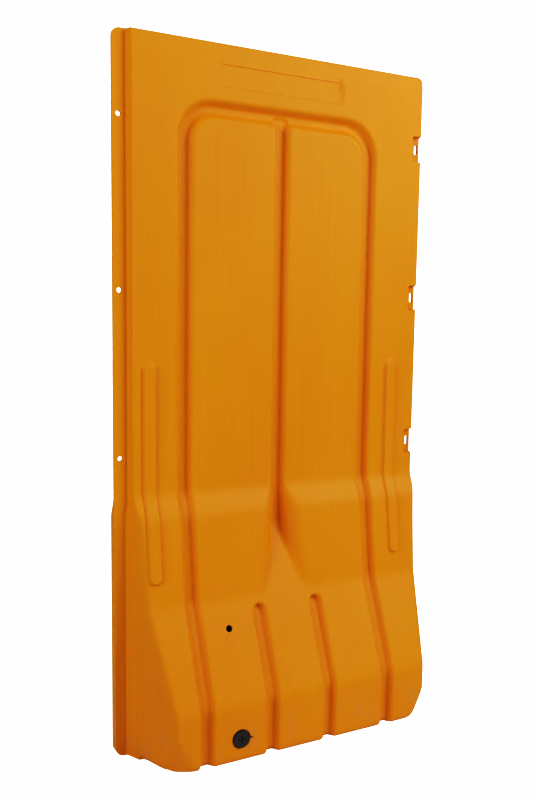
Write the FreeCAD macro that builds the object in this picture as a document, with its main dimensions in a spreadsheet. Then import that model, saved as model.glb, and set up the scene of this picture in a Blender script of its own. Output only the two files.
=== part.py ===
"""Water filled hoarding barrier: a hollow polyethylene panel on a wide water base, in millimetres.

The frame stands at the middle of the footprint on the ground. X runs along the barrier, +Y to its
rear and +Z up. The mould parts at Y = 0, so each half shell is built outward from that plane.
Heights are measured from the ground and depths from the parting plane.
"""
import FreeCAD, Part
import os
import re
import Sketcher

DRIVING = {
    # overall
    "width": 1000.0,
    "height": 2000.0,
    "base_depth": 400.0,
    "panel_depth": 56.0,
    "wall": 4.0,
    # side outline of one half
    "shoulder_top": 756.0,
    "shoulder_low": 694.0,
    "shoulder_depth": 55.0,
    "lean_low": 447.0,
    "lean_depth": 86.0,
    "skirt_top": 173.0,
    "lip_tall": 35.0,
    "lip_back": 3.0,
    "side_slant": 0.36,
    "corner_round": 28.0,
    "ground_round": 24.0,
    # joining flange on the left, lap edge on the right
    "flange_reach": 41.0,
    "flange_thick": 8.0,
    "flange_round": 22.0,
    "flange_low_thick": 20.0,
    "lap_reach": 41.0,
    "lap_clearance": 2.0,
    "lap_start": 50.0,
    "lap_round": 20.0,
    "hole_inset": 17.8,
    "hole_wide": 14.5,
    "hole_low": 863.0,
    "hole_pitch": 460.0,
    "slot_inset": 12.0,
    "slot_wide": 12.0,
    "slot_tall": 30.0,
    "pocket_wide": 34.0,
    "pocket_tall": 78.0,
    "pocket_floor": 13.0,
    # channels
    "channel_deep": 20.0,
    "channel_mouth": 47.0,
    "channel_floor": 20.0,
    "channel_centre": 3.0,
    "channel_spread": 303.0,
    "arch_top": 1822.0,
    "arch_round": 85.0,
    "arch_foot": 900.0,
    "groove_spread": 96.0,
    "groove_mouth": 42.0,
    "groove_top": 422.0,
    "valley_apex": 635.0,
    "valley_slope": 0.9,
    # raised ridges and the blank plate
    "ridge_left": 405.5,
    "ridge_right": 403.5,
    "ridge_wide": 40.0,
    "ridge_proud": 5.0,
    "ridge_top": 1131.0,
    "ridge_low": 513.0,
    "plate_wide": 402.0,
    "plate_tall": 61.0,
    "plate_deep": 2.0,
    "plate_centre": 4.0,
    "plate_middle": 1913.5,
    # fill hole and drain
    "fill_across": 199.0,
    "fill_high": 369.5,
    "fill_wide": 20.0,
    "drain_across": 197.5,
    "drain_high": 73.0,
    "recess_wide": 57.0,
    "recess_deep": 8.0,
    "bush_wide": 42.0,
    "bush_long": 18.0,
    "bush_flange_wide": 56.0,
    "bush_flange_thick": 3.0,
    "bush_gap": 0.1,
    "thread_wide": 34.0,
    "thread_gap": 0.05,
    "thread_long": 18.0,
    "gasket_wide": 47.0,
    "gasket_thick": 3.0,
    "gasket_gap": 0.35,
    "head_wide": 48.0,
    "head_thick": 8.0,
    "head_round": 1.5,
    "cross_long": 20.0,
    "cross_wide": 5.0,
    "cross_deep": 5.0,
    "spur_long": 12.0,
    "spur_tall": 3.0,
    "spur_thick": 2.0,
    "spur_low": 0.6,
}
OVERRUN = 10.0  # how far a cutting tool runs past what it cuts
SEAM = 1.0  # how far two pieces of one cut overlap
NEAR = 0.1  # how close counts as touching, when edges are picked

doc = FreeCAD.newDocument("water_barrier")
sheet = doc.addObject("Spreadsheet::Sheet", "Sizes")
for row, (alias, size) in enumerate(DRIVING.items(), start=1):
    sheet.set(f"A{row}", alias)
    sheet.set(f"B{row}", str(size))
    sheet.setAlias(f"B{row}", alias)
doc.recompute()

WORD = re.compile(r"[a-z_]+")


def formula(text):
    """The expression with each named size read from the sheet."""
    return WORD.sub(lambda m: f"Sizes.{m.group()}" if m.group() in DRIVING else m.group(), text)


def number(text):
    """What an expression is worth now, in millimetres."""
    return float(sheet.evalExpression(formula(text)))


def bind(thing, field, text):
    """Tie one field of an object to the sheet."""
    thing.setExpression(field, formula(text))


ROTATION = {
    "XY": FreeCAD.Rotation(),
    "XZ": FreeCAD.Rotation(FreeCAD.Vector(1, 0, 0), 90),
    "YZ": FreeCAD.Rotation(0.5, 0.5, 0.5, 0.5),
}


def outline(name, plane, points, at=("0", "0", "0"), bends=(), closed=True):
    """A sketch through the points. Each bend (index, radius) is the arc from that point to the next."""
    sketch = doc.addObject("Sketcher::SketchObject", name)
    sketch.Placement = FreeCAD.Placement(FreeCAD.Vector(), ROTATION[plane])
    for axis, text in zip("xyz", at):
        bind(sketch, f"Placement.Base.{axis}", text)
    return draw(sketch, points, dict(bends), closed)


def draw(sketch, points, bends, closed=True):
    """Draw the outline into a sketch and tie every corner to the sheet."""
    corners = [FreeCAD.Vector(number(u), number(v), 0) for u, v in points]
    count = len(points) if closed else len(points) - 1
    for i in range(count):
        start, end = corners[i], corners[(i + 1) % len(corners)]
        sketch.addGeometry(bend_between(start, end, number(bends[i])) if i in bends
                           else Part.LineSegment(start, end), False)
    for i in range(count):
        if closed or i + 1 < count:
            sketch.addConstraint(Sketcher.Constraint("Coincident", i, finish(sketch, i, corners),
                                                     (i + 1) % count, begin(sketch, i + 1, corners)))
    for i, (u, v) in enumerate(points):
        edge, end = (i, begin(sketch, i, corners)) if i < count else (i - 1, finish(sketch, i - 1, corners))
        for kind, text in (("DistanceX", u), ("DistanceY", v)):
            place = sketch.addConstraint(Sketcher.Constraint(kind, -1, 1, edge, end, number(text)))
            bind(sketch, f"Constraints[{place}]", text)
    for i, radius in bends.items():
        place = sketch.addConstraint(Sketcher.Constraint("Radius", i, number(radius)))
        bind(sketch, f"Constraints[{place}]", radius)
    return sketch


def bend_between(start, end, radius):
    """The quarter arc of a clockwise path."""
    chord = end - start
    middle = (start + end) * 0.5
    rise = (max(radius ** 2 - (chord.Length / 2) ** 2, 0.0)) ** 0.5
    normal = FreeCAD.Vector(chord.y, -chord.x, 0).normalize()
    centre = middle + normal * rise
    circle = Part.Circle(centre, FreeCAD.Vector(0, 0, 1), radius)
    return Part.ArcOfCircle(circle, circle.parameter(end), circle.parameter(start))


def begin(sketch, index, corners):
    """Which end of an edge lies at the outline's corner of the same index (1 start, 2 end)."""
    edge = sketch.Geometry[index % len(sketch.Geometry)]
    return 1 if edge.StartPoint.isEqual(corners[index % len(corners)], 1e-6) else 2


def finish(sketch, index, corners):
    """The other end of the same edge."""
    return 3 - begin(sketch, index, corners)


def extrude(name, sketch, length):
    """A solid along the sketch's normal."""
    solid = doc.addObject("Part::Extrusion", name)
    solid.Base = sketch
    solid.DirMode = "Normal"
    solid.Solid = True
    bind(solid, "LengthFwd", length)
    return solid


def sweep(name, section, path):
    """A solid of one section along a path."""
    solid = doc.addObject("Part::Sweep", name)
    solid.Sections = [section]
    solid.Spine = (path, [f"Edge{i + 1}" for i in range(len(path.Geometry))])
    solid.Solid = True
    solid.Frenet = False
    solid.Transition = "Right corner"
    return solid


def box(name, low, size):
    """A block from its low corner."""
    block = doc.addObject("Part::Box", name)
    for axis, text in zip("xyz", low):
        bind(block, f"Placement.Base.{axis}", text)
    for field, text in zip(("Length", "Width", "Height"), size):
        bind(block, field, text)
    return block


def rod(name, radius, length, at):
    """A cylinder that starts at a point and runs towards -Y."""
    solid = doc.addObject("Part::Cylinder", name)
    solid.Placement = FreeCAD.Placement(FreeCAD.Vector(), ROTATION["XZ"])
    for axis, text in zip("xyz", at):
        bind(solid, f"Placement.Base.{axis}", text)
    bind(solid, "Radius", radius)
    bind(solid, "Height", length)
    return solid


def join(name, pieces):
    """The union of some solids."""
    if len(pieces) == 1:
        return pieces[0]
    solid = doc.addObject("Part::MultiFuse", name)
    solid.Shapes = pieces
    solid.Refine = True
    return solid


def cut(name, base, tools):
    """The base without the tools."""
    solid = doc.addObject("Part::Cut", name)
    solid.Base = base
    solid.Tool = join(f"{name}_tools", tools)
    return solid


def common(name, first, second):
    """What two solids share."""
    solid = doc.addObject("Part::Common", name)
    solid.Base = first
    solid.Tool = second
    return solid


def rounded(name, base, picks):
    """Round the edges for which a pick's test holds, each at its own radius."""
    doc.recompute()
    solid = doc.addObject("Part::Fillet", name)
    solid.Base = base
    solid.Edges = [(i, radius, radius) for radius, test in picks
                   for i, edge in enumerate(base.Shape.Edges, start=1) if test(edge)]
    return solid


FACE = "panel_depth / 2"
FOOT = "base_depth / 2"
MIDDLE = "channel_centre"
LEFT = "(-width / 2 + flange_reach)"
RIGHT = {-1: "(width / 2)", 1: "(width / 2 - lap_reach)"}
RIGHT_START = {-1: "lap_start", 1: FACE}
SLOPE = "((channel_mouth - channel_floor) / 2 / channel_deep)"
LEAN_SLOPE = "((lean_depth - shoulder_depth) / (shoulder_low - lean_low))"
FALL_SLOPE = "((base_depth / 2 - lean_depth) / (lean_low - skirt_top))"
LAP_BACK = "(flange_thick / 2 + lap_clearance)"


class Half:
    """One moulded half: side -1 is the front, +1 the rear, and inset is how far inside the skin."""

    def __init__(self, side, inset):
        self.side = side
        self.inset = inset
        self.hollow = inset != "0"
        self.name = ("front" if side < 0 else "rear") + ("_hollow" if self.hollow else "_skin")

    def y(self, depth):
        """A depth from the parting plane as a Y coordinate."""
        return f"{self.side} * ({depth})"

    def points(self, pairs):
        """Depth and height pairs as sketch points in the YZ plane."""
        return [(self.y(depth), high) for depth, high in pairs]

    def blank(self):
        """Side outline and plan outline together, with the upright and ground edges rounded."""
        d = self.inset
        start = f"-{SEAM}" if self.hollow else "0"
        side = outline(f"{self.name}_side", "YZ", self.points((
            (start, d),
            (f"{FOOT} - {d}", d),
            (f"{FOOT} - {d}", "skirt_top"),
            (f"lean_depth - {d}", "lean_low"),
            (f"shoulder_depth - {d}", "shoulder_low"),
            (f"{FACE} - {d}", "shoulder_top"),
            (f"{FACE} - {d}", "height - lip_tall"),
            (f"{FACE} - lip_back - {d}", f"height - {d}"),
            (start, f"height - {d}"),
        )), at=("-width", "0", "0"))
        plan = outline(f"{self.name}_plan", "XY", [(x, self.y(depth)) for x, depth in (
            (f"{LEFT} + {d}", start),
            (f"{LEFT} + {d}", FACE),
            (f"{LEFT} + {d} + side_slant * ({FOOT} - {FACE})", FOOT),
            (f"{RIGHT[self.side]} - {d} - side_slant * ({FOOT} - {RIGHT_START[self.side]})", FOOT),
            (f"{RIGHT[self.side]} - {d}", RIGHT_START[self.side]),
            (f"{RIGHT[self.side]} - {d}", start),
        )])
        blank = common(f"{self.name}_blank", extrude(f"{self.name}_slab", side, "width * 2"),
                       extrude(f"{self.name}_column", plan, "height"))
        corners = rounded(f"{self.name}_corners", blank, [
            (number(f"corner_round - {d}"), self.is_corner),
            (number(f"lap_round - {d}"), self.is_top_end)])
        return rounded(f"{self.name}_ground", corners, [(number(f"ground_round - {d}"), self.is_ground)])

    def is_corner(self, edge):
        """An upright edge of the base's splayed ends."""
        spots = [v.Point for v in edge.Vertexes]
        deep = all(abs(p.y) > number(f"shoulder_depth - {self.inset}") - NEAR for p in spots)
        tall = abs(spots[0].z - spots[1].z) > SEAM
        return deep and tall and max(p.z for p in spots) < number("shoulder_low") + NEAR

    def is_ground(self, edge):
        """An edge of the underside that isn't on the parting plane."""
        spots = [v.Point for v in edge.Vertexes]
        return all(p.z < number(self.inset) + NEAR for p in spots) and max(abs(p.y) for p in spots) > 2 * SEAM

    def is_top_end(self, edge):
        """The edge at the top of the right end."""
        across, high = number(f"{RIGHT[self.side]} - {self.inset}"), number(f"height - {self.inset}")
        return all(abs(v.Point.x - across) < NEAR and v.Point.z > high - NEAR for v in edge.Vertexes)

    def section(self, name, across, high, depth=FACE, mouth="channel_mouth"):
        """A channel's level section where the skin has this depth: its mouth stands clear of the skin."""
        grow = f"({self.inset} * sqrt(1 + {SLOPE} ^ 2))"
        floor = f"({mouth} / 2 - {SLOPE} * channel_deep + {grow} - {SLOPE} * {self.inset})"
        lip = f"({mouth} / 2 + {grow} + {SLOPE} * {OVERRUN})"
        near, far = f"{depth} + {OVERRUN}", f"{depth} - channel_deep - {self.inset}"
        return outline(name, "XY", [
            (f"{across} - {lip}", self.y(near)),
            (f"{across} + {lip}", self.y(near)),
            (f"{across} + {floor}", self.y(far)),
            (f"{across} - {floor}", self.y(far)),
        ], at=("0", "0", high))

    def follow(self, name, across, upper):
        """A path down the skin's side outline, from the given upper points to below the ground."""
        path = [*upper, (FOOT, "skirt_top"), (FOOT, f"-{OVERRUN}")]
        return outline(name, "YZ", self.points(path), at=(across, "0", "0"), closed=False)

    def channels(self):
        """The arched channel, its two legs down to the ground and the middle channel."""
        legs = [f"({MIDDLE} - channel_spread)", f"({MIDDLE} + channel_spread)"]
        tools = []
        for word, across in zip(("left", "right"), legs):
            name = f"{self.name}_{word}"
            path = self.follow(f"{name}_path", across, [
                (FACE, "arch_foot"), (FACE, "shoulder_top"), ("shoulder_depth", "shoulder_low"),
                ("lean_depth", "lean_low")])
            tools.append(sweep(f"{name}_leg", self.section(f"{name}_section", across, "arch_foot"), path))
        arch = outline(f"{self.name}_arch_path", "XZ", [
            (legs[0], "arch_foot"),
            (legs[0], "arch_top - arch_round"),
            (f"{legs[0]} + arch_round", "arch_top"),
            (f"{legs[1]} - arch_round", "arch_top"),
            (legs[1], "arch_top - arch_round"),
            (legs[1], "arch_foot"),
        ], at=("0", self.y(FACE), "0"), bends={1: "arch_round", 3: "arch_round"}, closed=False)
        start = self.section(f"{self.name}_arch_section", legs[0], "arch_foot")
        tools.append(sweep(f"{self.name}_arch", start, arch))
        middle = self.section(f"{self.name}_middle_section", MIDDLE, f"shoulder_top - {SEAM}")
        tools.append(extrude(f"{self.name}_middle", middle, f"arch_top - shoulder_top + {SEAM}"))
        return tools

    def grooves(self):
        """The two short grooves that run from the foot of the lean to the ground."""
        tools = []
        depth = f"(lean_depth + {FALL_SLOPE} * (lean_low - groove_top))"
        for word, sign in (("left", "-"), ("right", "+")):
            name = f"{self.name}_groove_{word}"
            across = f"({MIDDLE} {sign} groove_spread)"
            path = self.follow(f"{name}_path", across, [(depth, "groove_top")])
            section = self.section(f"{name}_section", across, f"groove_top + {self.inset}", depth,
                                   "groove_mouth")
            tools.append(sweep(name, section, path))
        return tools

    def valley(self):
        """The splayed end of the middle channel, closed below by a sloping floor."""
        grow = f"({self.inset} * sqrt(1 + valley_slope ^ 2))"
        near, far = f"({FACE} - channel_deep - {self.inset})", f"(lean_depth + {OVERRUN})"
        widths = (("channel_floor / 2", near), ("channel_mouth / 2", FACE),
                  (f"channel_mouth / 2 + valley_slope * ({far} - {FACE})", far))
        left = [(f"{MIDDLE} - {wide} - {grow}", self.y(depth)) for wide, depth in widths]
        right = [(f"{MIDDLE} + {wide} + {grow}", self.y(depth)) for wide, depth in reversed(widths)]
        plan = outline(f"{self.name}_valley_plan", "XY", left + right, at=("0", "0", "lean_low"))
        side = outline(f"{self.name}_valley_side", "YZ", self.points((
            (near, "valley_apex"),
            (f"lean_depth - {self.inset}", "lean_low"),
            (far, "lean_low"),
            (far, f"shoulder_top + {self.inset}"),
            (near, f"shoulder_top + {self.inset}"),
        )), at=("-width", "0", "0"))
        return common(f"{self.name}_valley", extrude(f"{self.name}_valley_column", plan, "height"),
                      extrude(f"{self.name}_valley_slab", side, "width * 2"))

    def relief(self):
        """Everything that is sunk into the skin."""
        return [*self.channels(), *self.grooves(), self.valley()]

    def solid(self):
        """The half's outside, or its hollow, with the sunk relief."""
        return cut(f"{self.name}_sunk", self.blank(), self.relief())


def deep_box(name, side, left, right, near, far, low, high):
    """A block between two depths of one half."""
    first = near if side > 0 else f"-({far})"
    return box(name, (left, first, low), (f"({right}) - ({left})", f"({far}) - ({near})",
                                          f"({high}) - ({low})"))


def flange(half):
    """The set-back plate that the neighbour's lap edge covers, thicker at the rear below the shoulder."""
    d, name = half.inset, half.name
    left, right, thick = "-width / 2", f"{LEFT} + wall", "flange_thick / 2"
    if half.hollow:
        if half.side < 0:
            return []
        return [deep_box(f"{name}_flange", 1, f"{left} + {d}", right, f"-{SEAM}", f"flange_low_thick - {d}",
                         d, f"shoulder_low - {d}")]
    plate = deep_box(f"{name}_plate", half.side, left, right, "0", thick, "0", "height")
    curved = rounded(f"{name}_flange_ends", plate, [(number("flange_round"), outer_end)])
    if half.side < 0:
        return [curved]
    block = deep_box(f"{name}_block", 1, left, right, "0", "flange_low_thick", "0", "shoulder_low")
    return [curved, rounded(f"{name}_block_end", block, [(number("flange_round"), low_outer_end)])]


def outer_end(edge):
    """The flange's two free corners, seen from the front."""
    spots = [v.Point for v in edge.Vertexes]
    return abs(spots[0].y - spots[1].y) > SEAM and max(p.x for p in spots) < number(LEFT) - SEAM


def low_outer_end(edge):
    """The flange's free corner at the ground."""
    return outer_end(edge) and max(v.Point.z for v in edge.Vertexes) < NEAR


def lap(half):
    """What the front half leaves out behind its lap edge, for the neighbour's flange."""
    d = half.inset
    return [deep_box(f"{half.name}_lap", -1, f"{RIGHT[1]} - {d}", f"width / 2 + {OVERRUN}", f"-{OVERRUN}",
                     f"{LAP_BACK} + {d}", f"-{OVERRUN}", f"height + {OVERRUN}")]


def hole_heights():
    """The three heights at which the flange and the lap edge are bolted."""
    return [f"(hole_low + {i} * hole_pitch)" for i in range(3)]


def pockets(half):
    """The three pockets in the lap edge: solid behind them, so the hollow keeps clear of all of it."""
    grow = half.inset
    far = f"{FACE} + {OVERRUN}"
    near = "0" if half.hollow else "pocket_floor"
    return [deep_box(f"{half.name}_pocket_{i}", -1, f"width / 2 - pocket_wide - {grow}",
                     f"width / 2 + {OVERRUN}", near, far, f"{high} - pocket_tall / 2 - {grow}",
                     f"{high} + pocket_tall / 2 + {grow}")
            for i, high in enumerate(hole_heights(), start=1)]


def slots():
    """The tall slots through the pocket floors."""
    tools = []
    centre, straight, through = "width / 2 - slot_inset", "(slot_tall - slot_wide)", f"pocket_floor + {SEAM}"
    for i, high in enumerate(hole_heights(), start=1):
        ends = [rod(f"slot_{i}_{word}", "slot_wide / 2", through,
                    (centre, "0", f"{high} {sign} {straight} / 2"))
                for word, sign in (("low", "-"), ("high", "+"))]
        middle = box(f"slot_{i}_middle",
                     (f"{centre} - slot_wide / 2", f"-({through})", f"{high} - {straight} / 2"),
                     ("slot_wide", through, straight))
        tools += [*ends, middle]
    return tools


def flange_holes(word):
    """The three round bolt holes in the flange."""
    return [rod(f"{word}_hole_{i}", "hole_wide / 2", f"flange_thick + 2 * {OVERRUN}",
                ("-width / 2 + hole_inset", f"flange_thick / 2 + {OVERRUN}", high))
            for i, high in enumerate(hole_heights(), start=1)]


def ridges(half):
    """The two raised ridges that stiffen the panel beside the shoulder."""
    solids = []
    for word, across in (("left", "-ridge_left"), ("right", "ridge_right")):
        name = f"{half.name}_ridge_{word}"
        foot = f"(shoulder_depth + {LEAN_SLOPE} * (shoulder_low - ridge_low))"
        path = outline(f"{name}_path", "YZ", half.points((
            (FACE, "ridge_top"), (FACE, "shoulder_top"), ("shoulder_depth", "shoulder_low"),
            (foot, "ridge_low"))), at=(across, "0", "0"), closed=False)
        section = outline(f"{name}_section", "XY", [
            (f"{across} - ridge_wide / 2 + ridge_proud", half.y(f"{FACE} + ridge_proud")),
            (f"{across} + ridge_wide / 2 - ridge_proud", half.y(f"{FACE} + ridge_proud")),
            (f"{across} + ridge_wide / 2", half.y(f"{FACE} - wall / 2")),
            (f"{across} - ridge_wide / 2", half.y(f"{FACE} - wall / 2")),
        ], at=("0", "0", "ridge_top"))
        solids.append(sweep(name, section, path))
    return solids


def plate(half):
    """The shallow blank panel above the arch."""
    left = "plate_centre - plate_wide / 2"
    low = "plate_middle - plate_tall / 2"
    return deep_box(f"{half.name}_plate_recess", half.side, left, f"({left}) + plate_wide",
                    f"{FACE} - plate_deep", f"{FACE} + {OVERRUN}", low, f"({low}) + plate_tall")


DRAIN_SEAT = f"({FOOT} - recess_deep)"


def drain_start(depth):
    """The point on the drain's axis at a depth in front of the parting plane."""
    return ("-drain_across", f"-({depth})", "drain_high")


def fill_hole():
    """The fill hole, square to the sloping skin."""
    depth = f"(lean_depth + {FALL_SLOPE} * (lean_low - fill_high))"
    behind = f"(wall + {OVERRUN})"
    hole = rod("fill_hole", "fill_wide / 2", f"{behind} + {OVERRUN}",
               ("-fill_across", f"-{depth} + {behind} * cos(atan({FALL_SLOPE}))",
                f"fill_high - {behind} * sin(atan({FALL_SLOPE}))"))
    bind(hole, "Placement.Rotation.Angle", f"90 deg - atan({FALL_SLOPE})")
    return hole


def stretch(label, half, left, right):
    """The part of a moulded half between two planes across it."""
    slab = box(f"{label}_slab", (left, "-width", f"-{OVERRUN}"),
               (f"({right}) - ({left})", "width * 2", f"height + 2 * {OVERRUN}"))
    solid = common(f"{label}_stretch", half, slab)
    solid.Label = label
    return solid


def shell(word, side):
    """One half of the moulded hollow, cut where its flange and its lap edge begin.

    It is its skin without its hollow, with what is cut through both.
    """
    skin, hollow = Half(side, "0"), Half(side, "wall")
    outside = [skin.solid(), *flange(skin)]
    inside = [hollow.solid(), *flange(hollow)]
    outside += ridges(skin)
    through = flange_holes(word)
    if side < 0:
        recess = rod("drain_recess", "recess_wide / 2", f"recess_deep + {OVERRUN}",
                     drain_start(DRAIN_SEAT))
        boss = rod("drain_boss", "recess_wide / 2 + wall", f"recess_deep + wall + {OVERRUN}",
                   drain_start(f"{DRAIN_SEAT} - wall"))
        passage = rod("drain_passage", "bush_wide / 2 + bush_gap", f"wall + {OVERRUN}",
                      drain_start(f"{DRAIN_SEAT} - wall - {SEAM}"))
        through += [*lap(skin), *pockets(skin), *slots(), plate(skin), recess, passage, fill_hole()]
        inside = [cut("front_room", join("front_rooms", inside), [*lap(hollow), *pockets(hollow), boss])]
    else:
        through += [plate(skin)]
    solid = join(f"{word}_outside", outside)
    hollowed = cut(f"{word}_hollowed", solid, inside)
    half = cut(f"{word}_half", hollowed, through)
    beyond = f"(width / 2 + {OVERRUN})"
    pieces = [stretch(f"{word}_flange", half, f"-{beyond}", LEFT),
              stretch(f"{word}_shell", half, LEFT, RIGHT[1])]
    if side < 0:
        pieces.append(stretch("lap_edge", half, RIGHT[1], beyond))
    return pieces


class Turned:
    """A body turned about the drain's axis, drawn from a plane at a depth in front of the parting."""

    def __init__(self, label, depth, pairs):
        """Each pair is a radius and a distance towards the front from that plane."""
        self.label = label
        self.body = doc.addObject("PartDesign::Body", label)
        self.body.Label = label
        self.spin = self.feature("Revolution", "turned")
        self.spin.Profile = self.sketch("outline", "XY_Plane", pairs)
        self.spin.ReferenceAxis = (self.spin.Profile[0], ["V_Axis"])
        self.spin.Angle = 360
        half_turn = FreeCAD.Rotation(FreeCAD.Vector(0, 0, 1), 180)
        self.body.Placement = FreeCAD.Placement(FreeCAD.Vector(), half_turn)
        for axis, text in zip("xyz", drain_start(depth)):
            bind(self.body, f"Placement.Base.{axis}", text)
        doc.recompute()

    def feature(self, kind, word):
        """A new feature at the body's tip."""
        return self.body.newObject(f"PartDesign::{kind}", f"{self.label}_{word}")

    def sketch(self, word, role, pairs, offset="0"):
        """A closed sketch on one of the body's own planes, moved along the plane's normal."""
        sketch = self.body.newObject("Sketcher::SketchObject", f"{self.label}_{word}")
        draw(sketch, pairs, {})
        plane = next(o for o in self.body.Origin.OriginFeatures if o.Role == role)
        sketch.AttachmentSupport = [(plane, "")]
        sketch.MapMode = "FlatFace"
        bind(sketch, "AttachmentOffset.Base.z", offset)
        return sketch


def gasket():
    """The flat rubber washer under the plug's head."""
    inner, outer = "thread_wide / 2 + gasket_gap", "gasket_wide / 2"
    return Turned("drain_gasket", DRAIN_SEAT, [
        (inner, "0"), (outer, "0"), (outer, "gasket_thick"), (inner, "gasket_thick")]).body


def bush():
    """The bush that holds the plug's thread, flanged against the inside of the wall."""
    bore, sleeve, rim = "thread_wide / 2", "bush_wide / 2", "bush_flange_wide / 2"
    return Turned("drain_bush", DRAIN_SEAT, [
        (bore, "-bush_long"), (sleeve, "-bush_long"), (sleeve, "-wall - bush_flange_thick"),
        (rim, "-wall - bush_flange_thick"), (rim, "-wall"), (sleeve, "-wall"), (sleeve, "0"),
        (bore, "0")]).body


def plug():
    """The drain plug: shank and head, with a cross recess and the spur on its rim."""
    shank, rim, tip = "thread_wide / 2 - thread_gap", "head_wide / 2", "head_round"
    turned = Turned("drain_plug", f"{DRAIN_SEAT} + gasket_thick", [
        ("0", "-thread_long"), (f"{shank} - {tip}", "-thread_long"), (shank, f"-thread_long + {tip}"),
        (shank, "0"), (rim, "0"), (rim, "head_thick"), ("0", "head_thick")])
    uncut = turned.body.Shape.Volume

    soften = turned.feature("Fillet", "rim")
    edges = [f"Edge{i}" for i, edge in enumerate(turned.spin.Shape.Edges, start=1) if is_rim(edge)]
    soften.Base = (turned.spin, edges)
    bind(soften, "Radius", "head_round")
    doc.recompute()

    slot = turned.feature("Pocket", "slot")
    long, wide = "cross_long / 2", "cross_wide / 2"
    slot.Profile = turned.sketch("slot_outline", "XZ_Plane", [
        (f"-{long}", f"-{wide}"), (long, f"-{wide}"), (long, wide), (f"-{long}", wide)], "-head_thick")
    slot.Reversed = True
    bind(slot, "Length", "cross_deep")
    doc.recompute()

    cross = turned.feature("PolarPattern", "cross")
    cross.Originals = [slot]
    cross.Axis = (next(o for o in turned.body.Origin.OriginFeatures if o.Role == "Y_Axis"), [""])
    cross.Angle = 90
    cross.Occurrences = 2
    turned.body.Tip = cross
    doc.recompute()
    if turned.body.Shape.Volume >= uncut:
        raise SystemExit("the cross recess cut nothing")

    spur = turned.feature("Pad", "spur")
    near, far, tall = "head_wide / 2 - spur_thick", "head_wide / 2 + spur_long", "spur_tall / 2"
    spur.Profile = turned.sketch("spur_outline", "XZ_Plane", [
        (f"-({far})", f"-{tall}"), (f"-({near})", f"-{tall}"), (f"-({near})", tall), (f"-({far})", tall)],
        "-(head_thick - spur_low - spur_thick)")
    spur.Reversed = True
    bind(spur, "Length", "spur_thick")
    turned.body.Tip = spur
    return turned.body


def is_rim(edge):
    """The head's outer front edge, in the body's own frame."""
    circle = isinstance(edge.Curve, Part.Circle) and abs(edge.Curve.Radius - number("head_wide / 2")) < NEAR
    return circle and abs(edge.BoundBox.Center.y - number("head_thick")) < NEAR


PIECES = [*shell("front", -1), *shell("rear", 1), bush(), gasket(), plug()]
doc.recompute()

for thing in doc.Objects:
    if {"Invalid", "Error"} & set(thing.State):
        raise SystemExit(f"{thing.Name} failed: {thing.State}")
os.makedirs("parts", exist_ok=True)
for piece in PIECES:
    shape = piece.Shape
    if shape.isNull() or not shape.isValid() or len(shape.Solids) != 1:
        raise SystemExit(f"{piece.Label} isn't one valid solid")
    shape.exportStep(f"parts/{piece.Label}.step")
    print(f"{piece.Label}: {shape.Volume / 1000:.1f} cm3")
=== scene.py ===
"""Water filled hoarding barrier: its looks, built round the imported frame, in metres."""

import logging
import math
from collections.abc import Callable, Iterator
from contextlib import contextmanager
from dataclasses import dataclass, field
from enum import Enum

import bmesh
import bpy
import numpy as np
from mathutils import Matrix, Vector


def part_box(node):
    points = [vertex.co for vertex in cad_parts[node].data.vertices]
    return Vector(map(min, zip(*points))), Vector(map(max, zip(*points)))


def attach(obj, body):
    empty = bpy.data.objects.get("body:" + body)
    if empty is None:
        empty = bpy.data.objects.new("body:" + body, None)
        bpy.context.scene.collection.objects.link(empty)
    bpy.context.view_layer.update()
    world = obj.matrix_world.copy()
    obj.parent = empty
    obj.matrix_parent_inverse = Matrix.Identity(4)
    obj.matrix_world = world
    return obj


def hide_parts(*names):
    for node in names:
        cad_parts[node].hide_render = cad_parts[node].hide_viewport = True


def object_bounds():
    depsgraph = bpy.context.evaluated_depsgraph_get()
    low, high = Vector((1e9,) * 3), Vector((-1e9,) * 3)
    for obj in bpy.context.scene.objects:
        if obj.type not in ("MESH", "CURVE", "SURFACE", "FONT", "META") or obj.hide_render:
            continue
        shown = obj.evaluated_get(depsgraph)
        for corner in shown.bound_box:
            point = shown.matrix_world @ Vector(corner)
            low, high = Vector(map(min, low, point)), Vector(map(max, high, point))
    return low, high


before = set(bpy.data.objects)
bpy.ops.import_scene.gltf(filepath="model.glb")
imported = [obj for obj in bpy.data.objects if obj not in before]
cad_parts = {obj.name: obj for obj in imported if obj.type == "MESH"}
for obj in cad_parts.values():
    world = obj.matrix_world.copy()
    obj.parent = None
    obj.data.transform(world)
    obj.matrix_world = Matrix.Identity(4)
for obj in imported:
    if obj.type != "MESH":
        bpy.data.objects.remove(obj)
CAD_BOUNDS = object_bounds()
LOG = logging.getLogger("barrier")
MM = 0.001
BUSH_RADIUS = 21 * MM
WHITE = (1.0, 1.0, 1.0, 1.0)
Array = np.ndarray


class Side(Enum):
    """Which half of the moulding a skin belongs to; the value is the sign of its Y."""

    FRONT = -1
    REAR = 1


# --- small numeric helpers ---------------------------------------------------------------------


def ramp(t: Array, soft: float) -> Array:
    """A rising line that starts at zero, with its corner rounded.

    Args:
        t: Distance past the corner.
        soft: Half the length over which the corner turns.

    Returns:
        max(t, 0), smoothed for |t| < soft.
    """
    blend = (t + soft) ** 2 / (4 * soft)
    return np.where(t <= -soft, 0.0, np.where(t >= soft, t, blend))


def soft_min(a: Array, b: Array, soft: Array | float) -> Array:
    """The lesser of two surfaces, with the ridge between them rounded over a depth of soft."""
    h = np.maximum(soft - np.abs(a - b), 0.0) / soft
    return np.minimum(a, b) - h * h * soft / 4


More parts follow.
